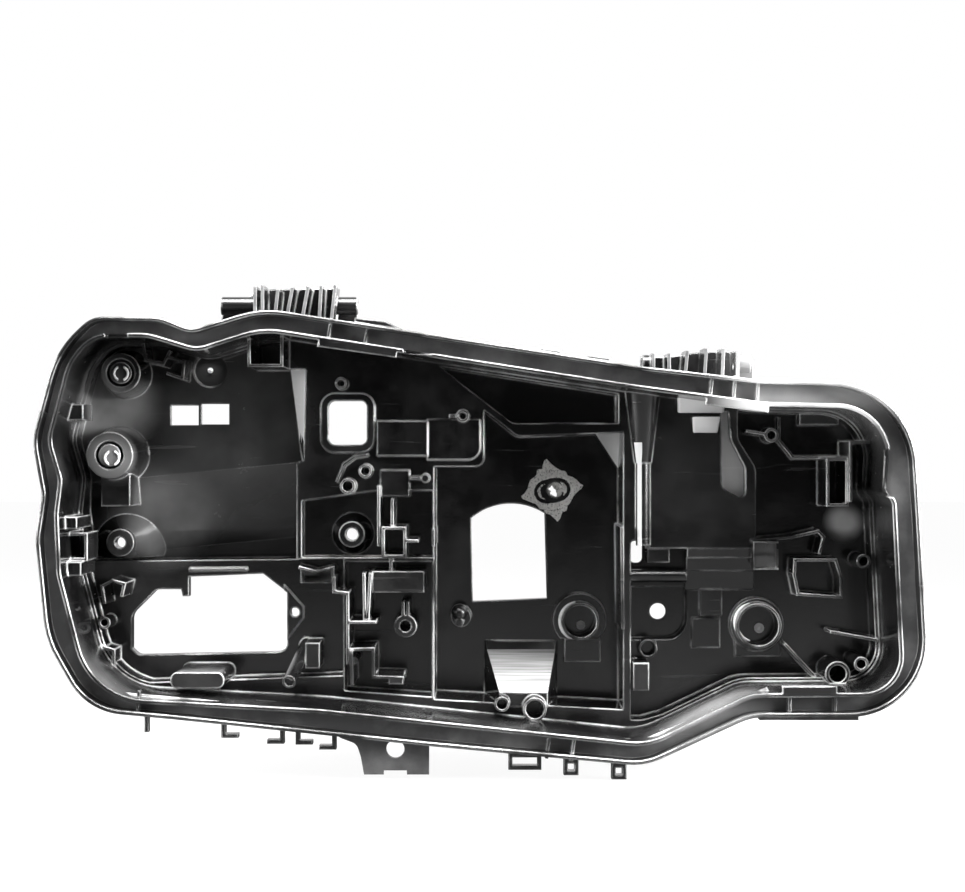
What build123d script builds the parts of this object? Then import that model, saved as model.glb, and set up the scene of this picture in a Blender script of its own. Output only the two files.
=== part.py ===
from build123d import *
import math
import os

os.makedirs("parts", exist_ok=True)

# Back housing of a car headlamp, one moulding in glossy black plastic, and the felt patch on its vent hole.
# Outlines lie in planes parallel to the rim: x to the right, y up, both from the centre of the lower tab's hole.
# Every depth is measured backwards from the front edge of the outer lip. All sizes are in millimetres.

# Shell
wall = 2.6
rib = 2.0

# Rim and its glue channel
lip_wall = 2.4
channel_depth = 12.0
inner_lip_drop = 1.5
pan_ledge = 2.5
flap_width = 5.0
flap_thickness = 2.5
stop_width = 2.0
stop_height = 5.0
stop_length = 14.0
notch_depth = 9.0

# Depths of the stepped pan
main_floor = 62.0
groove_floor = 70.0
side_floor = 80.0
step_floor = 76.0
panel_floor = 78.0
plate_floor = 80.0
box_floor = 84.0
bulge_floor = 84.0
bay_floor = 92.0
trough_floor = 100.0
back_floor = 108.0

# Windows and what closes onto them from behind
window_collar = 6.0
collar_wall = 2.4
frame_height = 4.0
frame_width = 5.0

# Wells for the aim screws
well_wall = 2.0
cut_well_mound = 17.4
cut_well_height = 8.0
cut_well_sill = 12.0
round_well_mound = 17.0
round_well_height = 8.0

# Sockets at the left end
socket_radius = 8.7
socket_depth = 9.0
core_radius = 6.9

# Lower tab
tab_depth = 14.0
tab_thickness = 3.0
tab_hole = 5.5

# Vent hole, and the felt patch stuck over it
vent_radius = 5.0
vent_at = (100.5, 155)
patch_side = 27.0
patch_thickness = 0.8
patch_turn = 35.0
patch_corner = 2.0
tear_radius = 3.6

outer_lip = [
    (-181.5, 261.5, 19),
    (-140.5, 261, 30),
    (-122.5, 253.5, 14),
    (-79.5, 266.5, 60),
    (147.5, 231.5, 400),
    (219.5, 223.5, 60),
    (310.5, 221, 52),
    (315.5, 139.5, 60),
    (322, 21, 46),
    (214.5, 21, 38),
    (150.5, -8.5, 40),
    (21.5, 3.5, 90),
    (-131.5, 19.5, 120),
    (-185, 24.5, 40),
    (-209.5, 67.5, 60),
    (-215.5, 127.5, 30),
    (-211.5, 154.5, 20),
    (-217.5, 187.5, 34),
    (-203, 241.5, 60),
]
inner_lip = [
    (-181.5, 249, 22),
    (-148.5, 249, 30),
    (-119, 240, 20),
    (-79.5, 252.5, 50),
    (147.5, 217.5, 400),
    (222.5, 207.5, 60),
    (297.5, 206, 30),
    (294.5, 155.5, 8),
    (299, 150, 8),
    (304.5, 35.5, 22),
    (214.5, 35, 30),
    (152, 5, 40),
    (-44.5, 25.5, 150),
    (-181.5, 33, 42),
    (-200.5, 106.5, 20),
    (-202, 142.5, 12),
    (-199.5, 163.5, 14),
    (-206.5, 187.5, 20),
    (-194.5, 232.5, 30),
]

# The crease where the left panel folds into the slope of the trough: a point on it, and its tilt
crease_at = (-108, 169)
crease_tilt = 5.5
slope_foot = 121


def crease_y(x):
    """Height of the tilted crease at one place along it."""
    return crease_at[1] + (x - crease_at[0]) * math.tan(math.radians(crease_tilt))


# Flat pockets sunk below the pan's main floor: depth, then outline
pockets = [
    (panel_floor, [(-217, 258, 0), (-72.5, 258, 0), (-62, crease_y(-62), 0), (-217, crease_y(-217), 0)]),
    (trough_floor, [(-201, 178, 0), (-64.5, 178, 0), (-64.5, 111.5, 0), (-201, 110, 0)]),
    (plate_floor, [(-217.5, 110.5, 0), (-35, 112.5, 0), (-35, 39, 0), (-176, 34, 10),
                   (-217.5, 78.5, 0)]),
    (step_floor, [(-61, 149, 0), (-14, 155.5, 0), (21.5, 155.5, 0), (21.5, 113.5, 0),
                  (-61, 113.5, 0)]),
    (box_floor, [(-34, 110.5, 0), (21, 110.5, 0), (21, 25.5, 0), (-34, 29.5, 0)]),
    (bulge_floor, [(25.5, 234, 0), (138.5, 217, 0), (138.5, 198, 0), (72, 198, 8)]),
    (back_floor, [(54, 206, 0), (75, 189.5, 8), (141.5, 192, 0), (141.5, 17.5, 0),
                  (22.5, 24, 0), (22.5, 170.5, 0), (54, 170.5, 6)]),
    (side_floor, [(214, 226, 0), (313.5, 226, 0), (313.5, 21, 0), (224, 21, 0), (185.5, 20, 0),
                  (153.5, 11, 0), (146.5, 11, 0), (146.5, 124.5, 3), (155.5, 124.5, 0), (155.5, 119, 0),
                  (225.5, 119, 0), (225.5, 170, 12), (214, 188, 12)]),
    (bay_floor, [(148, 93.5, 0), (183.5, 93.5, 0), (183.5, 60, 13), (148, 60, 0)]),
    (groove_floor, [(203.5, 205, 0), (208, 205, 0), (209.5, 187.5, 8), (218.5, 170, 8), (218.5, 149.5, 3),
                    (204, 157, 6)]),
]
panel_corners = [(-72.5, 232), (-62, crease_y(-62) + 1)]
panel_side_reach = (13.5, 2.0)
trough = pockets[1][1]
bay = pockets[8][1]

# Planes that lean the lower walls inwards: two points of the front edge, its depth, lean in degrees
leans = [
    (-200.5, 37.5, 159.5, 4.5, 14.0, 13.0),
    (147.5, 4.5, 225.5, 37.5, 14.0, 10.0),
]
lean_reach = 200.0


def profile(corners):
    """Flat outline with rounded corners, each given as x, y and radius."""
    points = [(x, y) for x, y, _ in corners]
    radii = [radius for _, _, radius in corners]
    return make_face(FilletPolyline(*points, radius=radii, close=True))


def grown(shape, amount):
    """Outline moved outwards by a distance, with its sharp corners kept sharp."""
    return offset(shape, amount=amount, kind=Kind.INTERSECTION)


def between(shape, front, back):
    """Solid that an outline sweeps from a front depth to a back depth."""
    return extrude(Pos(0, 0, -front) * shape, amount=back - front, dir=(0, 0, -1))


def prism(points, front, back):
    """Solid over a straight-sided outline."""
    return between(make_face(Polyline(*points, close=True)), front, back)


def block(x0, y0, x1, y1, front, back):
    """Rectangular solid between two corners and two depths."""
    return Pos((x0 + x1) / 2, (y0 + y1) / 2, -(front + back) / 2) * Box(abs(x1 - x0), abs(y1 - y0), back - front)


def along(side, x0, x1):
    """Solid whose section, given as y and depth, runs from one x to another."""
    face = Plane.YZ.offset(x0) * make_face(Polyline(*[(y, -depth) for y, depth in side], close=True))
    return extrude(face, amount=x1 - x0, dir=(1, 0, 0))


def post(x, y, radius, front, back):
    """Round post standing towards the viewer."""
    return Pos(x, y, -(front + back) / 2) * Cylinder(radius, back - front)


def cone(x, y, foot, top, front, back):
    """Tapered round mound standing on a floor."""
    return Pos(x, y, -(front + back) / 2) * Cone(foot, top, back - front)


def strip(x0, y0, x1, y1, thickness):
    """Flat strip between two points, square ended and half a thickness longer at each end."""
    run = Vector(x1 - x0, y1 - y0)
    turn = math.degrees(math.atan2(run.Y, run.X))
    return Pos((x0 + x1) / 2, (y0 + y1) / 2) * Rot(0, 0, turn) * Rectangle(run.length + thickness, thickness)


def wall_run(points, front, back, thickness=rib):
    """Thin wall of one height along a run of points."""
    legs = [strip(x0, y0, x1, y1, thickness) for (x0, y0), (x1, y1) in zip(points, points[1:])]
    return between(Sketch() + legs, front, back)


def gusset(corner, side_a, side_b, front, back):
    """Four-sided gusset in a corner: three points of its foot, and its peak above the first."""
    foot = [(*corner, -back), (*side_a, -back), (*side_b, -back)]
    peak = (*corner, -front)
    sides = [foot, [foot[0], foot[1], peak], [foot[1], foot[2], peak], [foot[2], foot[0], peak]]
    return Solid(Shell([make_face(Polyline(*side, close=True)).face() for side in sides]))


def under_lean(lean, moved):
    """Block that fills everything outside a leaning wall, moved outwards by a distance."""
    x0, y0, x1, y1, front, angle = lean
    run = Vector(x1 - x0, y1 - y0)
    turn = math.degrees(math.atan2(run.Y, run.X))
    filler = Pos(0, -lean_reach / 2 - moved, -lean_reach / 2) * Box(run.length, lean_reach, lean_reach)
    return Pos((x0 + x1) / 2, (y0 + y1) / 2, -front) * Rot(0, 0, turn) * Rot(-angle, 0, 0) * filler


def slope_block(moved):
    """Wedge that fills the upper part of the trough, so that its floor slopes from the crease down."""
    x, y = crease_at
    left, right = trough[0][0], trough[1][0]
    fall = trough_floor - panel_floor
    foot = slope_foot - y
    side = [(moved, panel_floor + moved), (foot + moved, trough_floor + moved),
            (moved + fall, trough_floor + moved + fall), (moved + fall, panel_floor + moved)]
    return Pos(x, y) * Rot(0, 0, crease_tilt) * along(side, left - x - wall, right - x + 2 * wall)


def panel_side(moved):
    """Wedge that leans the panel's right wall back: wide at the top, nearly upright at the foot."""
    sections = []
    for (x, y), reach in zip(panel_corners, panel_side_reach):
        section = [(x - wall, y, -panel_floor), (x, y, -panel_floor),
                   (x + reach, y, -main_floor), (x - wall, y, -main_floor)]
        sections.append(make_face(Polyline(*section, close=True)))
    return Pos(moved, 0, -moved) * loft(sections, ruled=True)


def shell():
    """Stepped pan and rim block, and the hollow inside them; the wall between the two is even."""
    mouth = profile(inner_lip)
    body = between(offset(mouth, amount=wall), inner_lip_drop, main_floor + wall)
    hollow = between(mouth, 0, main_floor)
    field = offset(mouth, amount=-pan_ledge)
    for floor, corners in pockets:
        outline = profile(corners) & field
        body += between(grown(outline, wall), main_floor, floor + wall)
        hollow += between(outline, main_floor - wall, floor)
    hollow = hollow.cut(slope_block(0)) + panel_side(0)
    body = body.cut(slope_block(wall), *[under_lean(lean, wall) for lean in leans]) + panel_side(wall)
    hollow = hollow.cut(*[under_lean(lean, 0) for lean in leans])
    body += between(profile(outer_lip), 0, channel_depth + wall)
    return body, hollow


def channel():
    """Glue channel between the two lips, and the drop that leaves the inner lip lower than the outer one."""
    gap = offset(profile(outer_lip), amount=-lip_wall)
    inner = offset(profile(inner_lip), amount=wall)
    return between(gap - inner, 0, channel_depth) + between(gap, 0, inner_lip_drop)


# Short stops across the glue channel: place and direction in degrees
channel_stops = [
    (-39.5, 254, 80), (-17.5, 249.5, 80), (191, 219.5, 84), (219, 216.5, 86), (205, 219, 85),
    (92.5, 2, 82), (107.5, 0.5, 82), (238.5, 27.5, 90), (266, 27.5, 90), (-155, 29, 85),
]
# Flat tabs that widen the inner lip: two ends of each
lip_flaps = [
    (-43.5, 245.5, -1, 239.5),
    (189.5, 210.5, 222.5, 206.5),
    (235.5, 37, 263.5, 37),
]
# Notches through the rim: corners of each
rim_notches = [
    (-174, 248.5, -160.5, 256),
    (5.5, 239, 22.5, 247),
    (295, 153, 305.5, 181.5),
]
# Raised pads on the outside of the outer lip: corners of each
lip_pads = [
    [(-24, 250), (-24, 261), (-6, 259), (4.5, 254), (4.5, 248)],
    [(86.5, 238), (86.5, 243), (100.5, 241), (100.5, 236)],
    [(116, 233), (116, 238.6), (130, 236.4), (130, 231)],
    [(219.5, 24), (219.5, 18.8), (279, 18.8), (279, 24)],
]
lip_pad_front = 2.5


def rim_stops():
    """Cross stops in the channel, and the flat tabs on the inner lip."""
    parts = []
    for x, y, turn in channel_stops:
        stop = Rot(0, 0, turn) * Box(stop_length, stop_width, stop_height)
        parts.append(Pos(x, y, -channel_depth + stop_height / 2) * stop)
    for x0, y0, x1, y1 in lip_flaps:
        flap = strip(x0, y0, x1, y1, flap_width)
        parts.append(between(flap, inner_lip_drop, inner_lip_drop + flap_thickness))
    return parts


# Windows: floor they open, outline
big_window = [
    (-135, 100, 0), (-87.5, 102, 0), (-72, 90, 0), (-72, 52, 6), (-167.5, 50, 6),
    (-171.5, 54, 0), (-171.5, 76, 8), (-155.5, 92, 6), (-140, 92, 0), (-139, 87.5, 0),
    (-135, 87.5, 0),
]
window_lug = [(-74, 95), (-61.5, 81), (-61.5, 74), (-74, 57)]
lug_hole = (-67, 77.5, 2.9)
square_window = [(-44, 212, 4), (-20, 212, 4), (-20, 184.5, 4), (-44, 184.5, 4)]
lamp_windows = [
    (-146, 197, -128.5, 209.5),
    (-126.5, 197.5, -109, 210.5),
]
arch_left = (45.5, 136.5)
arch_right = (93.5, 139.5)
arch_top = (70, 146)
arch_foot_left = (46.5, 82)
arch_foot_right = (95, 84)
# Wiring holes: centre, width, height, corner radius, floor
slot_holes = [
    (151, 116, 8.0, 14.0, 3.5, side_floor),
]
bay_hole = (166, 77, 5.2)


def arch_outline():
    """Arched window: a straight foot and sides under a shallow arc."""
    top = ThreePointArc(arch_left, arch_top, arch_right)
    foot = Polyline(arch_right, arch_foot_right, arch_foot_left, arch_left)
    return make_face(top + foot)


def windows():
    """Openings through the floors, and the walls round them that a cover or seal fits over."""
    add = [prism(window_lug, plate_floor - rib, plate_floor + wall / 2)]
    cut = []
    for outline, floor in ((profile(big_window), plate_floor), (arch_outline(), back_floor)):
        ring = grown(outline, collar_wall) - outline
        add.append(between(ring, floor + wall / 2, floor + wall + window_collar))
        cut.append(between(outline, floor - 2 * rib, floor + wall + window_collar))
    outline = profile(square_window)
    ring = grown(outline, frame_width) - outline
    add.append(between(ring, main_floor - frame_height, main_floor + wall / 2))
    cut.append(between(outline, main_floor - 2 * frame_height, main_floor + 2 * wall))
    for x0, y0, x1, y1 in lamp_windows:
        cut.append(block(x0, y0, x1, y1, panel_floor - wall, panel_floor + 2 * wall))
    for x, y, width, height, radius, floor in slot_holes:
        slot = Pos(x, y) * RectangleRounded(width, height, radius)
        cut.append(between(slot, floor - wall, floor + 2 * wall))
    x, y, radius = lug_hole
    cut.append(post(x, y, radius, plate_floor - 2 * rib, plate_floor + window_collar + wall))
    x, y, radius = bay_hole
    cut.append(post(x, y, radius, bay_floor - wall, bay_floor + 2 * wall))
    return add, cut


# Screw bosses: centre, outer radius, bore radius, front depth, floor they stand on
screw_bosses = [
    (-35.5, 223, 3.8, 2.2, 50.0, main_floor),
    (40.5, 202.5, 4.0, 2.2, 50.0, main_floor),
    (-20.5, 168, 4.3, 2.6, 52.0, step_floor),
    (-31.5, 158.5, 5.0, 3.1, 52.0, step_floor),
    (4.5, 70.5, 7.2, 3.4, 56.0, box_floor),
    (-185, 72.5, 3.8, 2.2, 58.0, plate_floor),
    (65, 22.5, 4.8, 3.2, 48.0, main_floor),
    (85.5, 19.5, 7.4, 5.6, 46.0, main_floor),
    (235, 190.5, 4.7, 2.6, 60.0, side_floor),
    (291.5, 111.5, 4.6, 2.8, 52.0, side_floor),
    (288.5, 48, 4.6, 2.8, 44.0, side_floor),
    (274.5, 41.5, 7.8, 5.2, 48.0, side_floor),
    (158, 55, 6.0, 4.4, 70.0, side_floor),
]
# Bosses bored right through the moulding: centre, foot radius, top radius, bore radius, front depth, floor
through_bosses = [
    (-176.5, 122.5, 26.0, 8.8, 3.4, 66.0, trough_floor),
    (-29.5, 128, 15.0, 8.2, 3.8, 60.0, step_floor),
]
mound_step = 8.0
# Sockets: centre, foot radius, top radius, front depth, floor
sockets = [
    (-174, 229.5, 16.0, 12.4, 54.0, panel_floor),
    (-178, 178, 19.0, 14.5, 38.0, panel_floor + 8),
]
# Wells: centre, inner radius, front depth, floor
cut_well = (116, 70.5, 10.2, 90.0, back_floor)
round_well = (227.5, 70, 12.4, 64.0, side_floor)
shallow_well = (-121, 232, 10.8, 4.0)

# The mounds rise only inside this outline, which keeps them off the window plate below
mound_field = [(-204.5, 245, 6), (25.5, 241, 4), (25.5, 112.5, 4), (-205.5, 112, 6)]


def screw_boss_solids():
    """Screw bosses inside the pan, and their blind bores."""
    add = []
    cut = []
    for x, y, outer, bore, front, floor in screw_bosses:
        add.append(post(x, y, outer, front, floor + wall / 2))
        cut.append(post(x, y, bore, front - rib, floor))
    return add, cut


def mounds():
    """Hollow mounds that carry the sockets and the two through bosses, open from behind."""
    add = []
    core = []
    cut = []
    field = profile(mound_field)
    inner_field = offset(field, amount=-wall)
    for x, y, foot, top, bore, front, floor in through_bosses:
        step = front + mound_step
        mound = cone(x, y, foot, top, step, floor + wall) & between(field, main_floor - mound_step, floor + wall)
        add.append(mound + post(x, y, top, front, floor))
        inside = cone(x, y, foot - wall, top - wall, step + wall, floor + 2 * wall)
        core.append(inside & between(inner_field, main_floor - mound_step, floor + 2 * wall))
        cut.append(post(x, y, bore, front - rib, floor + 2 * wall))
    for x, y, foot, top, front, floor in sockets:
        add.append(cone(x, y, foot, top, front, floor + wall) & between(field, front - rib, floor + wall))
        inside = cone(x, y, foot - wall, top - wall, front + socket_depth + wall, floor + 2 * wall)
        core.append(inside & between(inner_field, front, floor + 2 * wall))
        ring = Circle(socket_radius) - Circle(core_radius)
        cut.append(between(Pos(x, y) * ring, front - rib, front + socket_depth))
    return add, core, cut


def well_solids():
    """Closed wells for the aim screws: one cut flat at its sill, one round, and a shallow one."""
    x, y, inner, front, floor = cut_well
    sill = Pos(x, y - cut_well_sill - lean_reach / 2) * Rectangle(lean_reach, lean_reach)
    mound = Pos(x, y) * Circle(cut_well_mound) - sill
    ring = Pos(x, y) * Circle(inner + well_wall) - sill
    add = [between(mound, floor - cut_well_height, floor + wall / 2), between(ring, front, floor)]
    cut = [between(Pos(x, y) * Circle(inner) - sill, front - rib, floor)]
    add.append(block(x - 10, y - cut_well_sill - 15, x + 13.5, y - cut_well_sill, floor - cut_well_height - 2,
                     floor + wall / 2))
    x, y, inner, front, floor = round_well
    add.append(post(x, y, round_well_mound, floor - round_well_height, floor + wall / 2))
    add.append(post(x, y, inner + well_wall, front, floor))
    add.append(block(x - 13.5, y - 20.5, x + 15.5, y - 10, floor - round_well_height / 2, floor + wall / 2))
    cut.append(post(x, y, inner, front - rib, floor))
    x, y, inner, depth = shallow_well
    cup = post(x, y, inner + wall, panel_floor, panel_floor + depth + wall)
    cut.append(post(x, y, inner, panel_floor - rib, panel_floor + depth))
    return add, cut, cup


# Walls of one height that stand on a floor: front depth, floor, then the corners of each run
wall_runs = [
    (50.0, step_floor, [(-12, 158), (-12, 122)]),
    (50.0, step_floor, [(-3.5, 150), (-3.5, 132.5)]),
    (46.0, step_floor, [(-9, 132.5), (4.5, 132.5), (4.5, 115), (-9, 115), (-9, 132.5)]),
    (46.0, step_floor, [(4.5, 124.5), (12, 124.5)]),
    (52.0, box_floor, [(-4.5, 115), (-4.5, 103.5)]),
    (56.0, back_floor, [(22, 130.5), (22, 121.5)]),
    (44.0, box_floor, [(-39.5, 101.5), (-39.5, 93), (-31, 92), (-31, 48.5)]),
    (44.0, box_floor, [(-31, 74), (-14, 74)]),
    (44.0, box_floor, [(-29.5, 57), (-15, 57.5), (-15, 40), (3, 39.5)]),
    (46.0, box_floor, [(-21, 103.5), (-20.5, 76.5)]),
    (46.0, box_floor, [(-17, 103.5), (-18.5, 76.5)]),
    (40.0, box_floor, [(-28.5, 56), (-28, 36)]),
    (56.0, box_floor, [(3, 77), (3, 85)]),
    (56.0, box_floor, [(6, 77), (6, 85)]),
    (52.0, step_floor, [(-38, 162), (-34, 172), (-27, 177), (-20, 178)]),
    (52.0, main_floor, [(8.5, 163.5), (16, 163.5)]),
    (52.0, main_floor, [(33, 202.5), (38, 202.5)]),
    (56.0, back_floor, [(140.5, 132), (141, 69.5)]),
    (60.0, side_floor, [(220, 193), (232, 191)]),
    (72.0, side_floor, [(241.5, 201), (241.5, 187.5), (250.5, 176.5), (279, 176.5)]),
    (58.0, side_floor, [(223, 124), (246.5, 126), (264, 130), (267.5, 126.5), (265, 116.5)]),
    (58.0, side_floor, [(249.5, 112), (275, 112), (278.5, 100.5), (278.5, 88.5), (251.5, 90.5),
                        (249, 102.5), (249.5, 112)]),
    (64.0, side_floor, [(244.5, 58), (262.5, 38.5)]),
    (60.0, side_floor, [(273, 66.5), (301, 61.5)]),
    (46.0, side_floor, [(268, 175.5), (280, 175.5), (280, 147), (268, 147), (268, 175.5)]),
    (42.0, side_floor, [(281.5, 186), (292.5, 186)]),
    (42.0, side_floor, [(281.5, 186), (281.5, 150)]),
    (60.0, plate_floor, [(-188.5, 57.5), (-179.5, 55), (-179.5, 46.5)]),
    (76.0, plate_floor, [(-133.5, 104.6), (-98.5, 105)]),
    (52.0, panel_floor, [(-159.5, 247), (-158, 237.5), (-147, 235), (-143, 242.5)]),
    (52.0, panel_floor, [(-143, 239), (-134, 236.5), (-135, 226), (-144, 229)]),
    (24.0, panel_floor, [(-90, 250), (-90, 233), (-70, 233), (-70, 250)]),
    (30.0, main_floor, [(-207, 129.5), (-191, 129.5), (-191, 114), (-207, 114)]),
    (50.0, plate_floor, [(-183.5, 86), (-185, 96), (-178.5, 99.5), (-171, 97.5), (-172.5, 90.5)]),
    (60.0, plate_floor, [(-62, 107), (-52, 104.5), (-41.5, 107), (-41.5, 98)]),
]
# Small solid pads and webs: two corners, front depth, floor
pads = [
    (-5.5, 35.5, 3.5, 39.5, 44.0, box_floor),
    (-206, 133, -194.5, 140.5, 20.0, main_floor),
    (-203.5, 104.5, -192, 113, 20.0, main_floor),
    (-204, 199.5, -193.5, 209.5, 34.0, main_floor),
    (146.5, 99.5, 182, 103, 68.0, side_floor),
]
# Larger blocks, cored from behind so that their walls stay even: two corners, front depth, floor
cored_blocks = [
    (-13.5, 177.5, 18.5, 199.5, 57.0, main_floor),
    (-11.5, 152, 7, 168.5, 57.0, step_floor),
    (-16, 92, 16.5, 105.5, 50.0, box_floor),
    (-185, 146, -167, 166, 48.0, trough_floor),
    (-58, 44.5, -49, 60.5, 52.0, plate_floor),
    (223, 107.5, 239.5, 118.5, 62.0, side_floor),
    (157, 110, 171, 121, 63.0, side_floor),
    (254, 197, 279, 206, 70.0, side_floor),
    (191.5, 75.5, 205.5, 92.5, 74.0, side_floor),
    (186.5, 55, 204.5, 74, 76.0, side_floor),
    (147.5, 30, 157.5, 47.5, 56.0, side_floor),
]
# Round pins: centre, radius, front depth, floor
pins = [
    (17, 163.5, 2.6, 50.0, main_floor),
    (-27, 49.5, 2.2, 50.0, box_floor),
    (39, 73, 6.5, 94.0, back_floor),
    (38, 70.5, 2.6, 88.0, back_floor),
]
# Raised panels with rounded corners: outline, front depth, floor
raised_panels = [
    ([(18, 200.5, 0), (51.5, 200.5, 0), (51.5, 175, 8), (18, 175, 0)], 59.0, main_floor),
]
# Gussets against a wall: corner, two points of the foot, depth of the peak, floor
gussets = [
    ((143, 194), (124, 194), (143, 165), 90.0, back_floor),
]


def inner_walls():
    """Thin walls, pads, blocks, pins and gussets that stand on the floors."""
    parts = [wall_run(points, front, floor + wall / 2) for front, floor, points in wall_runs]
    parts += [block(x0, y0, x1, y1, front, floor + wall / 2) for x0, y0, x1, y1, front, floor in pads + cored_blocks]
    parts += [post(x, y, radius, front, floor + wall / 2) for x, y, radius, front, floor in pins]
    parts += [between(profile(corners), front, floor + wall / 2) for corners, front, floor in raised_panels]
    parts += [gusset(corner, side_a, side_b, front, floor + wall / 2)
              for corner, side_a, side_b, front, floor in gussets]
    return parts


def block_cores():
    """Cores that hollow the larger blocks from behind."""
    return [block(x0 + wall, y0 + wall, x1 - wall, y1 - wall, front + wall, floor + 2 * wall)
            for x0, y0, x1, y1, front, floor in cored_blocks]


# Half-round column on the right block, which carries the aim shaft: x, foot, collar and top heights, radii
column_x = 154
column_foot = 121
column_collar = 173
column_top = 219
column_radius = 4.4
column_neck = 5.2
column_mouth = 11.0
# Cross bar over the wiring bay
bar_radius = 4.2
bar_at = (146, 182, 101.5, 66)
# Stepped folds right of the bay: y and depth of each corner
folds = [(119.5, 62), (113, 64), (113, 68), (104.5, 70), (104.5, 74), (92, 76), (92, 81), (119.5, 81)]
folds_from = 182
folds_to = 226
# Ramp tower under the arched window: its side, then its plan, both with depth
tower_slope = [(56.5, 104), (51.5, 100), (28.5, 60), (19.5, 60)]
tower_left = (54.0, 63.5)
tower_right = (101.5, 94.0)
tower_front = 60.0
# Rounded block and slanted screw post on the lower wall: centres at the front and at the floor
pillow_at = (-122, 40, 26)
pillow_size = (33.0, 10.0, 4.4)
slant_front = (-65.7, 39, 26)
slant_back = (-59.5, 57, plate_floor + wall / 2)
slant_radius = 4.2
slant_bore = 2.6
slant_bore_depth = 12.0


def leaning_post(start, end, radius):
    """Round post along a slanting line between two points, each given as x, y and depth."""
    x0, y0, front = start
    x1, y1, back = end
    run = Vector(x1 - x0, y1 - y0, front - back)
    square_to_run = Plane(origin=(x0, y0, -front), z_dir=run)
    return square_to_run * Cylinder(radius, run.length, align=(Align.CENTER, Align.CENTER, Align.MIN))


def tower(inset):
    """Tower with a slanting front, cut from its side and its plan; an inset gives the core inside it."""
    back = back_floor + wall / 2 + 2 * inset
    top, foot = tower_slope[0][0], tower_slope[-1][0]
    side = [(y, -depth) for y, depth in tower_slope + [(foot, back), (top, back)]]
    plan = [(tower_left[0], -back), (tower_left[1], -tower_front),
            (tower_right[1], -tower_front), (tower_right[0], -back)]
    side_face = make_face(Polyline(*side, close=True))
    plan_face = make_face(Polyline(*plan, close=True))
    if inset:
        side_face = offset(side_face, amount=-inset, kind=Kind.INTERSECTION)
        plan_face = offset(plan_face, amount=-inset, kind=Kind.INTERSECTION)
    side_solid = extrude(Plane.YZ.offset(tower_left[0]) * side_face, amount=tower_right[0] - tower_left[0])
    plan_solid = extrude(Plane.XZ * plan_face, amount=-top)
    return side_solid & plan_solid


def large_forms():
    """Column, bar, folds, tower, rounded block and slanted post."""
    upright = Rot(-90, 0, 0)
    neck = Pos(column_x, (column_collar + column_top) / 2, -main_floor) * upright
    mouth = neck * Cone(column_neck, column_mouth, column_top - column_collar)
    shaft = Pos(column_x, (column_foot + column_collar) / 2, -main_floor) * upright
    shaft = shaft * Cylinder(column_radius, column_collar - column_foot)
    front_half = block(column_x - 2 * column_mouth, column_foot, column_x + 2 * column_mouth, column_top,
                       main_floor - 2 * column_mouth, main_floor + wall / 2)
    add = [(mouth + shaft) & front_half]
    core = [neck * Cylinder(column_neck - wall, column_top - column_collar - 2 * wall)]
    x0, x1, y, depth = bar_at
    add.append(Pos((x0 + x1) / 2, y, -depth) * Rot(0, 90, 0) * Cylinder(bar_radius, x1 - x0))
    add.append(along(folds, folds_from, folds_to))
    add.append(tower(0))
    core.append(tower(wall))
    width, height, radius = pillow_size
    x, y, front = pillow_at
    add.append(between(Pos(x, y) * RectangleRounded(width, height, radius), front, plate_floor + wall / 2))
    inside = RectangleRounded(width - 2 * wall, height - 2 * wall, radius - wall)
    core.append(between(Pos(x, y) * inside, front + wall, plate_floor + 2 * wall))
    add.append(leaning_post(slant_front, slant_back, slant_radius))
    x, y, front = slant_front
    bore = post(x, y, slant_bore, front - rib, front + slant_bore_depth)
    return add, core, [bore]


# Lower tab: outline up to the pan wall behind the rim, and its hole at the origin
tab_outline = [
    (-35.5, 28, 0), (-35.5, 7.5, 4), (-23.5, 3, 6), (-21, -4.5, 6), (-19, -15.5, 0),
    (-7, -15.5, 0), (-7, -13, 0), (7, -13, 0), (7, -15.5, 0), (20.5, -15.5, 0),
    (20.5, 28, 0),
]
# Clips that hang from the lower edge: x, outer y, width, drop
clip_frames = [
    (78.5, -8.5, 20.0, 7.5), (106.5, -12, 9.0, 7.0), (135.5, -14.5, 9.0, 7.0),
]
clip_hooks = [
    (-104, 11.5, 1), (-68.5, 8, -1), (-59, 7.5, 1), (-37, 4.5, -1),
]
spike = (-151.7, 10.5, -149.2, 22.5)
spike_length = 6.0
hook_drop = 9.0
hook_foot = 9.0
hook_wall = 2.5
hook_length = 8.0
hook_front = channel_depth - 2.0


def lower_fixings():
    """Tab with the fixing hole, and the hooks and frames for clips along the lower edge."""
    front = tab_depth - tab_thickness / 2
    add = [between(profile(tab_outline), front, front + tab_thickness)]
    back = hook_front + hook_length
    for x, y, side in clip_hooks:
        lower = y - hook_drop / 2
        add.append(block(x - hook_wall / 2, lower, x + hook_wall / 2, y + hook_drop, hook_front, back))
        add.append(block(x, lower, x + side * hook_foot, lower + hook_wall, hook_front, back))
    for x, y, width, drop in clip_frames:
        frame = block(x - width / 2, y - drop / 2, x + width / 2, y + drop / 2 + 6, hook_front, back)
        gap = block(x - width / 2 + hook_wall, y - drop / 2 + hook_wall, x + width / 2 - hook_wall,
                    y + drop / 2, hook_front, back)
        add.append(frame - gap)
    add.append(block(*spike, hook_front, hook_front + spike_length))
    return add, [post(0, 0, tab_hole, front, front + tab_thickness)]


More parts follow.
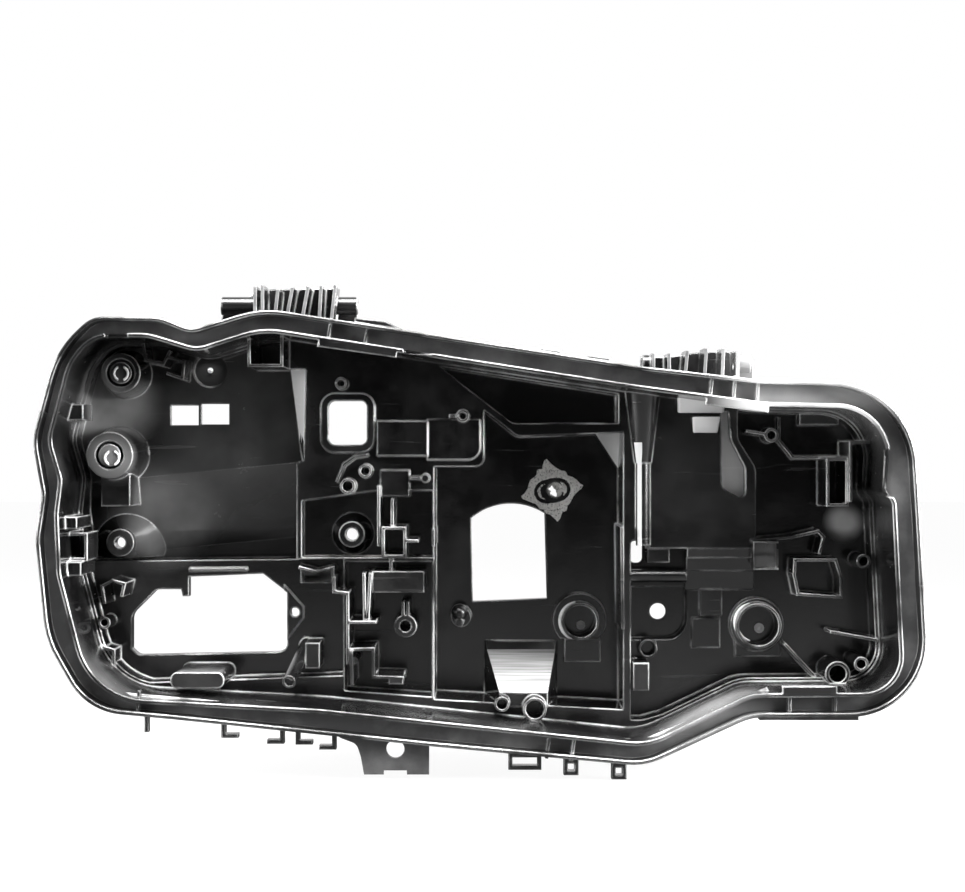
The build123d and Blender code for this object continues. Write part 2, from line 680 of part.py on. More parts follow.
# Upper brackets: outline of the back plate, then each rib from its top to its foot
left_bracket = [
    (-110, 256, 0), (-107.5, 269, 0), (-96, 271.5, 0), (-86.5, 280.5, 0), (-37, 281.5, 0),
    (-36, 274, 0), (-24, 274, 0), (-24, 250, 0),
]
left_bracket_ribs = [
    (-85, 279.5, -85), (-80.5, 280, -80.5), (-71.3, 277.5, -74), (-62.5, 279, -67.5), (-53, 279.5, -58),
    (-45, 280, -46.5), (-36.5, 280.4, -39.5),
]
left_bracket_foot = 252.0
left_tube = (-107, -23.5, 269.5)
right_bracket = [
    (150.5, 226, 0), (150.5, 239, 0), (168, 239, 0), (187.5, 242, 0), (205, 242.5, 0),
    (212.5, 238, 0), (220.5, 237, 0), (221, 221, 0),
]
right_bracket_ribs = [
    (156.5, 239, 156.5), (166, 239, 166), (177, 240.5, 175), (188.5, 242, 187), (199, 242, 198),
    (207.5, 241, 207.5),
]
right_bracket_foot = 218.0
right_tube = (151, 217, 234)
bracket_front = 12.0
bracket_back = 40.0
bracket_wall = 2.5
tube_radius = 5.5
tube_bore = 3.2


def upper_bracket(outline, ribs, foot, tube):
    """Ribbed bracket on the upper edge: back plate, leaning ribs and a cross tube at each side."""
    left, right, height = tube
    add = [between(profile(outline), bracket_back - bracket_wall, bracket_back)]
    for x, top, x_foot in ribs:
        add.append(between(strip(x, top, x_foot, foot, rib), bracket_front, bracket_back))
    cut = []
    for start, end in ((left, ribs[0][0]), (ribs[-1][0], right)):
        middle = Pos((start + end) / 2, height, -(bracket_front + bracket_back) / 2) * Rot(0, 90, 0)
        add.append(middle * Cylinder(tube_radius, end - start))
        cut.append(middle * Cylinder(tube_bore, end - start + rib))
    return add, cut


def housing():
    """The whole moulding, as one solid."""
    body, hollow = shell()
    window_add, window_cut = windows()
    mound_add, mound_core, mound_cut = mounds()
    boss_add, boss_cut = screw_boss_solids()
    well_add, well_cut, cup = well_solids()
    form_add, form_core, form_cut = large_forms()
    tab_add, tab_cut = lower_fixings()
    left_add, left_cut = upper_bracket(left_bracket, left_bracket_ribs, left_bracket_foot, left_tube)
    right_add, right_cut = upper_bracket(right_bracket, right_bracket_ribs, right_bracket_foot, right_tube)
    lip_add = [prism(points, lip_pad_front, channel_depth) for points in lip_pads]
    notches = [block(x0, y0, x1, y1, 0, notch_depth) for x0, y0, x1, y1 in rim_notches]
    solid = body.fuse(cup, *tab_add, *left_add, *right_add, *lip_add)
    solid = solid.cut(hollow, channel(), *notches)
    solid = solid.fuse(*mound_add, *boss_add, *well_add, *window_add, *form_add, *inner_walls(), *rim_stops())
    return solid.cut(*mound_core, *mound_cut, *boss_cut, *well_cut, *window_cut, *form_core, *form_cut,
                     *block_cores(), *tab_cut, *left_cut, *right_cut, vent_hole())


def vent_hole():
    """Round vent through the back wall."""
    x, y = vent_at
    return post(x, y, vent_radius, back_floor - wall, back_floor + 2 * wall)


def vent_patch():
    """Square of felt stuck over the vent from the inside, torn open in the middle."""
    x, y = vent_at
    square = Rot(0, 0, patch_turn) * RectangleRounded(patch_side, patch_side, patch_corner)
    return between(Pos(x, y) * (square - Circle(tear_radius)), back_floor - patch_thickness, back_floor)


def in_place(shape):
    """Stand the part up as it is in the car: rim plane upright, open side to the front, tab at mid depth."""
    return Rot(90, 0, 0) * Pos(0, 0, tab_depth) * shape


moulding = housing()
export_step(in_place(moulding), "parts/housing.step")
export_step(in_place(vent_patch()), "parts/vent_patch.step")
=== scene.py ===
import math
import random

import bpy
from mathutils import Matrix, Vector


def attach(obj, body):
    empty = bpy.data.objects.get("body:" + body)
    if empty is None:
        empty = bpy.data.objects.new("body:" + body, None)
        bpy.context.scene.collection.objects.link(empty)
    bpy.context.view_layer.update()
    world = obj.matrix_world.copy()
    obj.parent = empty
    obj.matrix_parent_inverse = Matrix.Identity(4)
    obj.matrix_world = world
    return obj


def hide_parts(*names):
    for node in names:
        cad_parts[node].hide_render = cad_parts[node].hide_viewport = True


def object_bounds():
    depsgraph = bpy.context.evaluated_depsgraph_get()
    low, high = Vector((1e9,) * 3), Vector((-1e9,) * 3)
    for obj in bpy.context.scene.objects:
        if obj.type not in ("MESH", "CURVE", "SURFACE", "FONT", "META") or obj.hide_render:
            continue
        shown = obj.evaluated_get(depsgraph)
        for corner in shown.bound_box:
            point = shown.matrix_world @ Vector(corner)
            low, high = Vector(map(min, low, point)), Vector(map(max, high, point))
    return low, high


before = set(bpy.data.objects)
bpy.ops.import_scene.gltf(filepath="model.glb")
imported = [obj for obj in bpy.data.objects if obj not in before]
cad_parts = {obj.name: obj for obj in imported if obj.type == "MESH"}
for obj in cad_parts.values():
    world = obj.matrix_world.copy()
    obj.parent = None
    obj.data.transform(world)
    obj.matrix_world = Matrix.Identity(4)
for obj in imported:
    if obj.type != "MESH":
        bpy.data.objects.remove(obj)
cad_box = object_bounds()
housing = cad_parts["housing"]

# Camera: it looks straight into the open side of the housing, from 1.2 m in front
# of the rim. The lens gives the photograph's frame, with no shift.
camera = bpy.data.objects.new("camera", bpy.data.cameras.new("camera"))
bpy.context.scene.collection.objects.link(camera)
camera.location = (0.05287, -1.214, 0.18368)
camera.rotation_euler = (math.radians(90), 0, 0)
camera.data.sensor_width = 36
camera.data.lens = 74.61
bpy.context.scene.camera = camera
bpy.context.scene.view_settings.view_transform = "Standard"

# World: plain grey light all round, and white to the camera, to gloss and through
# the windows.
world = bpy.data.worlds.new("studio")
bpy.context.scene.world = world
world.use_nodes = True
nodes, links = world.node_tree.nodes, world.node_tree.links
nodes.clear()
path = nodes.new("ShaderNodeLightPath")
seen = nodes.new("ShaderNodeMath")
seen.operation = "MAXIMUM"
links.new(path.outputs["Is Camera Ray"], seen.inputs[0])
links.new(path.outputs["Is Glossy Ray"], seen.inputs[1])
shown = nodes.new("ShaderNodeMath")
shown.operation = "MAXIMUM"
links.new(seen.outputs[0], shown.inputs[0])
links.new(path.outputs["Is Transmission Ray"], shown.inputs[1])
fill = nodes.new("ShaderNodeBackground")
fill.inputs["Color"].default_value = (0.8, 0.8, 0.8, 1)
fill.inputs["Strength"].default_value = 0.5
white = nodes.new("ShaderNodeBackground")
white.inputs["Color"].default_value = (1, 1, 1, 1)
mix = nodes.new("ShaderNodeMixShader")
links.new(shown.outputs[0], mix.inputs["Fac"])
links.new(fill.outputs[0], mix.inputs[1])
links.new(white.outputs[0], mix.inputs[2])
out = nodes.new("ShaderNodeOutputWorld")
links.new(mix.outputs[0], out.inputs["Surface"])

# Floor: a plain floor under the lowest point. The camera sees it near white with a
# faint shadow, and all other rays see it nearly black, so that low flats stay dark.
bpy.ops.object.select_all(action="DESELECT")
bpy.ops.mesh.primitive_plane_add(size=12, location=(0, 0, cad_box[0][2] - 0.0005))
floor = bpy.context.object
floor.name = "floor"
pale = bpy.data.materials.new("pale_floor")
pale.use_nodes = True
nodes, links = pale.node_tree.nodes, pale.node_tree.links
nodes.clear()
path = nodes.new("ShaderNodeLightPath")
diffuse = nodes.new("ShaderNodeBsdfDiffuse")
diffuse.inputs["Color"].default_value = (0.12, 0.12, 0.12, 1)
glow = nodes.new("ShaderNodeEmission")
glow.inputs["Strength"].default_value = 0.93
add = nodes.new("ShaderNodeAddShader")
links.new(diffuse.outputs[0], add.inputs[0])
links.new(glow.outputs[0], add.inputs[1])
matt = nodes.new("ShaderNodeBsdfDiffuse")
matt.inputs["Color"].default_value = (0.06, 0.06, 0.06, 1)
mix = nodes.new("ShaderNodeMixShader")
links.new(path.outputs["Is Camera Ray"], mix.inputs["Fac"])
links.new(matt.outputs[0], mix.inputs[1])
links.new(add.outputs[0], mix.inputs[2])
out = nodes.new("ShaderNodeOutputMaterial")
links.new(mix.outputs[0], out.inputs["Surface"])
floor.data.materials.append(pale)

# Dark card: a studio flag behind the camera, so that flats which face it stay
# black. The camera itself sees it white, from any side.
bpy.ops.object.select_all(action="DESELECT")
bpy.ops.mesh.primitive_plane_add(size=1, location=(0.05, -2.9, 0.25), rotation=(math.radians(90), 0, 0))
flag = bpy.context.object
flag.name = "dark_card"
flag.scale = (3.6, 3.2, 1)
dark = bpy.data.materials.new("dark_card")
dark.use_nodes = True
nodes, links = dark.node_tree.nodes, dark.node_tree.links
nodes.clear()
path = nodes.new("ShaderNodeLightPath")
black = nodes.new("ShaderNodeBsdfDiffuse")
black.inputs["Color"].default_value = (0.01, 0.01, 0.01, 1)
white = nodes.new("ShaderNodeEmission")
mix = nodes.new("ShaderNodeMixShader")
links.new(path.outputs["Is Camera Ray"], mix.inputs["Fac"])
links.new(black.outputs[0], mix.inputs[1])
links.new(white.outputs[0], mix.inputs[2])
out = nodes.new("ShaderNodeOutputMaterial")
links.new(mix.outputs[0], out.inputs["Surface"])
flag.data.materials.append(dark)

# Lamps: softboxes above, at the right and at the left, which draw the bright edges
# and light the slopes of the pan.
for name, place, turn, size, power in (
    ("softbox_top", (0.25, -0.45, 1.25), (-22, 0, 0), (1.6, 0.7), 130),
    ("softbox_right", (1.35, -0.45, 0.45), (0, 72, 20), (0.6, 1.0), 95),
    ("softbox_left", (-1.3, -0.45, 0.35), (0, -72, -20), (0.6, 1.0), 38),
):
    lamp = bpy.data.objects.new(name, bpy.data.lights.new(name, "AREA"))
    bpy.context.scene.collection.objects.link(lamp)
    lamp.location = place
    lamp.rotation_euler = [math.radians(a) for a in turn]
    lamp.data.shape = "RECTANGLE"
    lamp.data.size, lamp.data.size_y = size
    lamp.data.energy = power

# Moulded skin: the surface that all the black plastic shares. It gives a colour
# with faint smears, a roughness with rubs and scratches, and a fine grain.
skin = bpy.data.node_groups.new("moulded_skin", "ShaderNodeTree")
for name, kind, value in (
    ("Colour", "NodeSocketColor", (0.012, 0.012, 0.012, 1)),
    ("Haze", "NodeSocketColor", (0.03, 0.03, 0.03, 1)),
    ("Gloss", "NodeSocketFloat", 0.25),
    ("Rubbed", "NodeSocketFloat", 0.45),
    ("Grain", "NodeSocketFloat", 900.0),
    ("Scratches", "NodeSocketFloat", 0.5),
):
    socket = skin.interface.new_socket(name, in_out="INPUT", socket_type=kind)
    socket.default_value = value
for name, kind in (
    ("Colour", "NodeSocketColor"),
    ("Roughness", "NodeSocketFloat"),
    ("Height", "NodeSocketFloat"),
):
    skin.interface.new_socket(name, in_out="OUTPUT", socket_type=kind)
nodes, links = skin.nodes, skin.links
given = nodes.new("NodeGroupInput")
result = nodes.new("NodeGroupOutput")
where = nodes.new("ShaderNodeTexCoord")
smear = nodes.new("ShaderNodeTexNoise")
smear.inputs["Scale"].default_value = 22
smear.inputs["Detail"].default_value = 6
smear.inputs["Roughness"].default_value = 0.62
links.new(where.outputs["Object"], smear.inputs["Vector"])
smeared = nodes.new("ShaderNodeMapRange")
smeared.inputs["From Min"].default_value = 0.45
smeared.inputs["From Max"].default_value = 0.75
links.new(smear.outputs["Fac"], smeared.inputs["Value"])
long_way = nodes.new("ShaderNodeMapping")
long_way.inputs["Rotation"].default_value = (0, 0.6, 0)
long_way.inputs["Scale"].default_value = (14, 60, 260)
links.new(where.outputs["Object"], long_way.inputs["Vector"])
scuff = nodes.new("ShaderNodeTexNoise")
scuff.inputs["Scale"].default_value = 1.0
scuff.inputs["Detail"].default_value = 3
scuff.inputs["Distortion"].default_value = 0.6
links.new(long_way.outputs[0], scuff.inputs["Vector"])
scuffed = nodes.new("ShaderNodeMapRange")
scuffed.inputs["From Min"].default_value = 0.66
scuffed.inputs["From Max"].default_value = 0.72
links.new(scuff.outputs["Fac"], scuffed.inputs["Value"])
scratch = nodes.new("ShaderNodeMath")
scratch.operation = "MULTIPLY"
links.new(scuffed.outputs[0], scratch.inputs[0])
links.new(given.outputs["Scratches"], scratch.inputs[1])
worn = nodes.new("ShaderNodeMath")
worn.operation = "MAXIMUM"
links.new(smeared.outputs[0], worn.inputs[0])
links.new(scratch.outputs[0], worn.inputs[1])
tint = nodes.new("ShaderNodeMix")
tint.data_type = "RGBA"
links.new(worn.outputs[0], tint.inputs["Factor"])
links.new(given.outputs["Colour"], tint.inputs["A"])
links.new(given.outputs["Haze"], tint.inputs["B"])
links.new(tint.outputs["Result"], result.inputs["Colour"])
rough = nodes.new("ShaderNodeMix")
links.new(worn.outputs[0], rough.inputs["Factor"])
links.new(given.outputs["Gloss"], rough.inputs["A"])
links.new(given.outputs["Rubbed"], rough.inputs["B"])
links.new(rough.outputs["Result"], result.inputs["Roughness"])
grain = nodes.new("ShaderNodeTexNoise")
grain.inputs["Detail"].default_value = 2
links.new(where.outputs["Object"], grain.inputs["Vector"])
links.new(given.outputs["Grain"], grain.inputs["Scale"])
links.new(grain.outputs["Fac"], result.inputs["Height"])

# Black plastic: the moulding's own finish, glossy and nearly black. Corners are rounded
# in the shading and get a painted highlight, a paler tone along the edges, and eight painted
# reflection spots (place, radius and tone) stand in for the broad reflections of the real blends.
painted_reflection_spots = (
    ((-0.188, 0.064, 0.211), 0.040, 0.62),
    ((-0.176, 0.020, 0.176), 0.024, 0.30),
    ((-0.150, 0.075, 0.142), 0.045, 0.24),
    ((-0.105, 0.064, 0.200), 0.075, 0.11),
    ((0.190, 0.048, 0.170), 0.060, 0.026),
    ((0.284, 0.066, 0.135), 0.015, 0.90),
    ((0.248, -0.002, 0.213), 0.070, 0.60),
    ((0.187, -0.002, 0.028), 0.050, 0.40),
)
black_plastic = bpy.data.materials.new("black_plastic")
grained_black = bpy.data.materials.new("grained_black")
for material, colour, haze, gloss, rubbed, grain_size, scratches, grain_depth, edge, edge_highlight_tone in (
    (black_plastic, 0.0035, 0.020, 0.14, 0.30, 700.0, 0.9, 0.05, 0.0019, 0.85),
    (grained_black, 0.058, 0.190, 0.40, 0.58, 1500.0, 0.4, 0.35, 0.0009, 0.30),
):
    material.use_nodes = True
    nodes, links = material.node_tree.nodes, material.node_tree.links
    nodes.clear()
    surface = nodes.new("ShaderNodeGroup")
    surface.node_tree = skin
    surface.inputs["Colour"].default_value = (colour, colour, colour * 1.02, 1)
    surface.inputs["Haze"].default_value = (haze, haze, haze, 1)
    surface.inputs["Gloss"].default_value = gloss
    surface.inputs["Rubbed"].default_value = rubbed
    surface.inputs["Grain"].default_value = grain_size
    surface.inputs["Scratches"].default_value = scratches
    corner = nodes.new("ShaderNodeBevel")
    corner.samples = 4
    corner.inputs["Radius"].default_value = edge
    bump = nodes.new("ShaderNodeBump")
    bump.inputs["Strength"].default_value = grain_depth
    bump.inputs["Distance"].default_value = 0.0003
    links.new(surface.outputs["Height"], bump.inputs["Height"])
    links.new(corner.outputs[0], bump.inputs["Normal"])
    shader = nodes.new("ShaderNodeBsdfPrincipled")
    shader.inputs["Specular IOR Level"].default_value = 0.8
    # Painted highlight: a pale tone mixed into the base colour along the edges, in patches.
    flat = nodes.new("ShaderNodeNewGeometry")
    turn = nodes.new("ShaderNodeVectorMath")
    turn.operation = "DOT_PRODUCT"
    links.new(corner.outputs[0], turn.inputs[0])
    links.new(flat.outputs["True Normal"], turn.inputs[1])
    on_edge = nodes.new("ShaderNodeMapRange")
    on_edge.inputs["From Min"].default_value = 0.97
    on_edge.inputs["From Max"].default_value = 0.80
    links.new(turn.outputs["Value"], on_edge.inputs["Value"])
    where = nodes.new("ShaderNodeTexCoord")
    patchy = nodes.new("ShaderNodeTexNoise")
    patchy.inputs["Scale"].default_value = 26
    patchy.inputs["Detail"].default_value = 3
    links.new(where.outputs["Object"], patchy.inputs["Vector"])
    lit = nodes.new("ShaderNodeMapRange")
    lit.inputs["From Min"].default_value = 0.42
    lit.inputs["From Max"].default_value = 0.57
    lit.inputs["To Min"].default_value = 0.05
    links.new(patchy.outputs["Fac"], lit.inputs["Value"])
    shine = nodes.new("ShaderNodeMath")
    shine.operation = "MULTIPLY"
    links.new(on_edge.outputs[0], shine.inputs[0])
    links.new(lit.outputs[0], shine.inputs[1])
    rim = nodes.new("ShaderNodeMix")
    rim.data_type = "RGBA"
    rim.inputs["B"].default_value = (edge_highlight_tone, edge_highlight_tone, edge_highlight_tone, 1)
    links.new(shine.outputs[0], rim.inputs["Factor"])
    body = surface.outputs["Colour"]
    # Painted reflections: each spot mixes a pale tone into the base colour around its place.
    for spot, radius, reflection_tone in painted_reflection_spots:
        away = nodes.new("ShaderNodeVectorMath")
        away.operation = "DISTANCE"
        away.inputs[1].default_value = spot
        links.new(where.outputs["Object"], away.inputs[0])
        near = nodes.new("ShaderNodeMapRange")
        near.interpolation_type = "SMOOTHSTEP"
        near.inputs["From Min"].default_value = radius
        near.inputs["From Max"].default_value = radius * 0.25
        links.new(away.outputs["Value"], near.inputs["Value"])
        reflection_mask = nodes.new("ShaderNodeMath")
        reflection_mask.operation = "MULTIPLY"
        links.new(near.outputs[0], reflection_mask.inputs[0])
        links.new(patchy.outputs["Fac"], reflection_mask.inputs[1])
        reflection_mix = nodes.new("ShaderNodeMix")
        reflection_mix.data_type = "RGBA"
        reflection_mix.inputs["B"].default_value = (reflection_tone, reflection_tone, reflection_tone, 1)
        links.new(reflection_mask.outputs[0], reflection_mix.inputs["Factor"])
        links.new(body, reflection_mix.inputs["A"])
        body = reflection_mix.outputs["Result"]
    links.new(body, rim.inputs["A"])
    links.new(rim.outputs["Result"], shader.inputs["Base Color"])
    links.new(surface.outputs["Roughness"], shader.inputs["Roughness"])
    links.new(bump.outputs[0], shader.inputs["Normal"])
    out = nodes.new("ShaderNodeOutputMaterial")
    links.new(shader.outputs[0], out.inputs["Surface"])

# Painted reflection grey: a nearly white, rougher material, a painted reflection that stands in for the broad
# reflections on the facets and small pieces that look pale in the photograph. The real ones are black.
painted_reflection_grey = bpy.data.materials.new("painted_reflection_grey")
painted_reflection_grey.use_nodes = True
nodes, links = painted_reflection_grey.node_tree.nodes, painted_reflection_grey.node_tree.links
nodes.clear()
surface = nodes.new("ShaderNodeGroup")
surface.node_tree = skin
surface.inputs["Colour"].default_value = (0.88, 0.88, 0.88, 1)
surface.inputs["Haze"].default_value = (0.97, 0.97, 0.97, 1)
surface.inputs["Gloss"].default_value = 0.42
surface.inputs["Rubbed"].default_value = 0.60
surface.inputs["Grain"].default_value = 1300
surface.inputs["Scratches"].default_value = 0.9
bump = nodes.new("ShaderNodeBump")
bump.inputs["Strength"].default_value = 0.25
bump.inputs["Distance"].default_value = 0.0003
links.new(surface.outputs["Height"], bump.inputs["Height"])
shader = nodes.new("ShaderNodeBsdfPrincipled")
links.new(surface.outputs["Colour"], shader.inputs["Base Color"])
links.new(surface.outputs["Roughness"], shader.inputs["Roughness"])
links.new(bump.outputs[0], shader.inputs["Normal"])
out = nodes.new("ShaderNodeOutputMaterial")
links.new(shader.outputs[0], out.inputs["Surface"])

# Ramp: fine lines drawn across the tower's slanting front, under a painted reflection
# in the base colour that goes from grey at the top to nearly white at the foot.
lines_and_painted_reflection = bpy.data.materials.new("lines_and_painted_reflection")
lines_and_painted_reflection.use_nodes = True
nodes, links = lines_and_painted_reflection.node_tree.nodes, lines_and_painted_reflection.node_tree.links
shader = nodes["Principled BSDF"]
where = nodes.new("ShaderNodeTexCoord")
across = nodes.new("ShaderNodeMapping")
across.inputs["Scale"].default_value = (14, 60, 900)
links.new(where.outputs["Object"], across.inputs["Vector"])
lines = nodes.new("ShaderNodeTexNoise")
lines.inputs["Scale"].default_value = 1.0
lines.inputs["Detail"].default_value = 4
links.new(across.outputs[0], lines.inputs["Vector"])
spread = nodes.new("ShaderNodeMapRange")
spread.inputs["From Min"].default_value = 0.35
spread.inputs["From Max"].default_value = 0.65
spread.inputs["To Min"].default_value = 0.40
links.new(lines.outputs["Fac"], spread.inputs["Value"])
height = nodes.new("ShaderNodeSeparateXYZ")
links.new(where.outputs["Object"], height.inputs[0])
# Painted reflection: the tone grows lighter towards the foot of the ramp.
reflection_fade = nodes.new("ShaderNodeMapRange")
reflection_fade.inputs["From Min"].default_value = 0.056
reflection_fade.inputs["From Max"].default_value = 0.030
reflection_fade.inputs["To Min"].default_value = 0.16
reflection_fade.inputs["To Max"].default_value = 0.55
links.new(height.outputs["Z"], reflection_fade.inputs["Value"])
tone = nodes.new("ShaderNodeMath")
tone.operation = "MULTIPLY"
links.new(spread.outputs[0], tone.inputs[0])
links.new(reflection_fade.outputs[0], tone.inputs[1])
links.new(tone.outputs[0], shader.inputs["Base Color"])
bump = nodes.new("ShaderNodeBump")
bump.inputs["Strength"].default_value = 0.3
bump.inputs["Distance"].default_value = 0.0002
links.new(lines.outputs["Fac"], bump.inputs["Height"])
links.new(bump.outputs[0], shader.inputs["Normal"])
shader.inputs["Roughness"].default_value = 0.4

# Housing: the CAD moulding itself. The channel's floor is grained, the tower's front
# has the lines with their painted reflection, and a few facets get the painted reflection
# grey. Each is found by its place across and up, and by the way it faces.
grained, lines_and_reflection, painted_pale = 1, 2, 3
tower_front = ((0.062, 0.096), (0.028, 0.053))
panel_side = ((-0.075, -0.058), (0.172, 0.233))
gusset = ((0.120, 0.144), (0.160, 0.195))
column_left = ((0.138, 0.158), (0.125, 0.186))
groove = ((0.195, 0.228), (0.135, 0.205))
groove_depth = 0.056


def lies_in(place, x, z):
    (left, right), (low, high) = place
    return left < x < right and low < z < high


housing.data.materials.clear()
for material in (black_plastic, grained_black, lines_and_painted_reflection, painted_reflection_grey):
    housing.data.materials.append(material)
for face in housing.data.polygons:
    x, y, z = face.center
    n = face.normal
    faces_front = n.y < -0.95
    if faces_front and -0.004 < y < -0.0005:
        face.material_index = grained
    elif lies_in(tower_front, x, z) and n.z > 0.3 and n.y < -0.3 and y > 0.045:
        face.material_index = lines_and_reflection
    elif lies_in(panel_side, x, z) and n.x < -0.3 and n.y < -0.3:
        face.material_index = painted_pale
    elif lies_in(gusset, x, z) and -0.97 < n.y < -0.2 and y > 0.07:
        face.material_index = painted_pale
    elif lies_in(column_left, x, z) and -0.85 < n.x < -0.15 and n.y < -0.3 and y < 0.07:
        face.material_index = painted_pale
    elif lies_in(groove, x, z) and faces_front and abs(y - groove_depth) < 0.0005:
        face.material_index = painted_pale

# Felt patch: a square of grey fibre felt over the vent, torn open in the middle, with
# ragged sides and the torn fibres standing up.
felt = bpy.data.materials.new("grey_felt")
felt.use_nodes = True
nodes, links = felt.node_tree.nodes, felt.node_tree.links
shader = nodes["Principled BSDF"]
where = nodes.new("ShaderNodeTexCoord")
fibre = nodes.new("ShaderNodeTexNoise")
fibre.inputs["Scale"].default_value = 800
fibre.inputs["Detail"].default_value = 8
fibre.inputs["Roughness"].default_value = 0.7
links.new(where.outputs["Object"], fibre.inputs["Vector"])
tone = nodes.new("ShaderNodeValToRGB")
tone.color_ramp.elements[0].color = (0.05, 0.05, 0.05, 1)
tone.color_ramp.elements[1].color = (1.0, 0.99, 0.96, 1)
tone.color_ramp.elements[0].position = 0.36
tone.color_ramp.elements[1].position = 0.47
links.new(fibre.outputs["Fac"], tone.inputs["Fac"])
links.new(tone.outputs["Color"], shader.inputs["Base Color"])
bump = nodes.new("ShaderNodeBump")
bump.inputs["Strength"].default_value = 0.8
bump.inputs["Distance"].default_value = 0.0006
links.new(fibre.outputs["Fac"], bump.inputs["Height"])
links.new(bump.outputs[0], shader.inputs["Normal"])
shader.inputs["Roughness"].default_value = 0.9
bpy.ops.object.select_all(action="DESELECT")
felt_side = 0.032
felt_thickness = 0.0007
felt_place = (0.0985, 0.0934, 0.1545)
bites = 36
bpy.ops.mesh.primitive_grid_add(x_subdivisions=70, y_subdivisions=70, size=felt_side)
patch = bpy.context.object
patch.name = "torn_felt"
torn = random.Random(7)
bite = [torn.uniform(0.55, 1.0) for step in range(bites)]
for vertex in patch.data.vertices:
    x, y, z = vertex.co
    reach = math.hypot(x, y)
    turn = math.atan2(y, x)
    edge = max(abs(x), abs(y)) / (felt_side / 2)
    if edge > 0.72:
        part = (turn / math.tau * bites) % bites
        a, b = bite[int(part)], bite[(int(part) + 1) % bites]
        pull = 1 - (edge - 0.72) * (1 - (a + (b - a) * (part % 1))) * 1.3
        x, y = x * pull, y * pull
    lift = 0.0024 * math.exp(-((reach - 0.0045) / 0.0022) ** 2) * (0.6 + 0.4 * math.sin(3 * turn + 1))
    fold = 0.0007 * math.sin(reach * 900 + 2 * math.sin(turn * 2)) * math.exp(-((reach - 0.009) / 0.004) ** 2)
    vertex.co = (x, y, 0.0006 + lift + max(fold, 0) + torn.uniform(0, 0.00025))
bpy.ops.object.mode_set(mode="EDIT")
bpy.ops.mesh.select_all(action="DESELECT")
bpy.ops.object.mode_set(mode="OBJECT")
for face in patch.data.polygons:
    x, y, z = face.center
    reach = math.hypot(x - 0.0006, y)
    turn = math.atan2(y, x)
    hole = 0.0026 + 0.0010 * math.sin(2 * turn + 0.7) + 0.0005 * math.sin(5 * turn)
    face.select = reach < hole
bpy.ops.object.mode_set(mode="EDIT")
bpy.ops.mesh.delete(type="FACE")
bpy.ops.object.mode_set(mode="OBJECT")
skin_of_felt = patch.modifiers.new("thickness", "SOLIDIFY")
skin_of_felt.thickness = felt_thickness
skin_of_felt.offset = 0
bpy.ops.object.modifier_apply(modifier="thickness")
bpy.ops.transform.rotate(value=math.radians(-35), orient_axis="Z", center_override=(0, 0, 0))
bpy.ops.transform.rotate(value=math.radians(90), orient_axis="X", center_override=(0, 0, 0))
patch.location = felt_place
bpy.ops.object.transform_apply(location=True, rotation=True, scale=True)
bpy.ops.object.shade_smooth()
patch.data.materials.append(felt)
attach(patch, "root")
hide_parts("vent_patch")

# Socket keys: two plastic crescents on the floor of each big socket at the left, like
# the halves of a split ring. A ring is cut at both sides and its ends are closed.
key_radius = 0.0043
key_thickness = 0.0008
key_gap = 0.0017
bpy.ops.object.select_all(action="DESELECT")
bpy.ops.mesh.primitive_torus_add(
    major_radius=key_radius, minor_radius=key_thickness, major_segments=48, minor_segments=12)
key = bpy.context.object
bpy.ops.object.mode_set(mode="EDIT")
bpy.ops.mesh.select_mode(type="FACE")
bpy.ops.mesh.select_all(action="DESELECT")
bpy.ops.object.mode_set(mode="OBJECT")
for face in key.data.polygons:
    face.select = abs(face.center.x) < key_gap
bpy.ops.object.mode_set(mode="EDIT")
bpy.ops.mesh.delete(type="FACE")
bpy.ops.mesh.select_all(action="SELECT")
bpy.ops.mesh.fill_holes(sides=0)
bpy.ops.object.mode_set(mode="OBJECT")
bpy.ops.transform.rotate(value=math.radians(90), orient_axis="X", center_override=(0, 0, 0))
bpy.ops.object.transform_apply(location=False, rotation=True, scale=True)
bpy.ops.object.shade_smooth_by_angle(angle=math.radians(40))
# The nearly white colour of the keys is a painted reflection.
key.data.materials.append(painted_reflection_grey)
for name, place in (
    ("socket_key_upper", (-0.1738, 0.0397, 0.2292)),
    ("socket_key_lower", (-0.1765, 0.0237, 0.1762)),
):
    copy = bpy.data.objects.new(name, key.data.copy())
    bpy.context.scene.collection.objects.link(copy)
    bpy.ops.object.select_all(action="DESELECT")
    bpy.context.view_layer.objects.active = copy
    copy.select_set(True)
    copy.location = place
    bpy.ops.object.transform_apply(location=True, rotation=False, scale=False)
    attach(copy, "root")
bpy.data.objects.remove(key)

# Gate dots: the raised pips that the mould's gates left in the plastic. Each is a low
# disc with a cupped top, a small centre and a rounded rim.
pip_radius = 0.0030
pip_height = 0.0016
bpy.ops.object.select_all(action="DESELECT")
bpy.ops.mesh.primitive_cylinder_add(
    vertices=40, radius=pip_radius, depth=pip_height, rotation=(math.radians(90), 0, 0))
pip = bpy.context.object
bpy.ops.object.transform_apply(location=False, rotation=True, scale=False)
bpy.ops.object.mode_set(mode="EDIT")
bpy.ops.mesh.select_mode(type="FACE")
bpy.ops.mesh.select_all(action="DESELECT")
bpy.ops.object.mode_set(mode="OBJECT")
for face in pip.data.polygons:
    face.select = face.normal.y < -0.9
bpy.ops.object.mode_set(mode="EDIT")
bpy.ops.mesh.inset(thickness=0.0010, depth=0)
bpy.ops.transform.translate(value=(0, 0.0005, 0))
bpy.ops.mesh.inset(thickness=0.0008, depth=0)
bpy.ops.transform.translate(value=(0, -0.0007, 0))
bpy.ops.object.mode_set(mode="OBJECT")
soften = pip.modifiers.new("soft_rim", "BEVEL")
soften.width = 0.0003
soften.segments = 2
bpy.ops.object.modifier_apply(modifier="soft_rim")
bpy.ops.object.shade_smooth_by_angle(angle=math.radians(40))
# The nearly white colour of the dots is a painted reflection.
pip.data.materials.append(painted_reflection_grey)
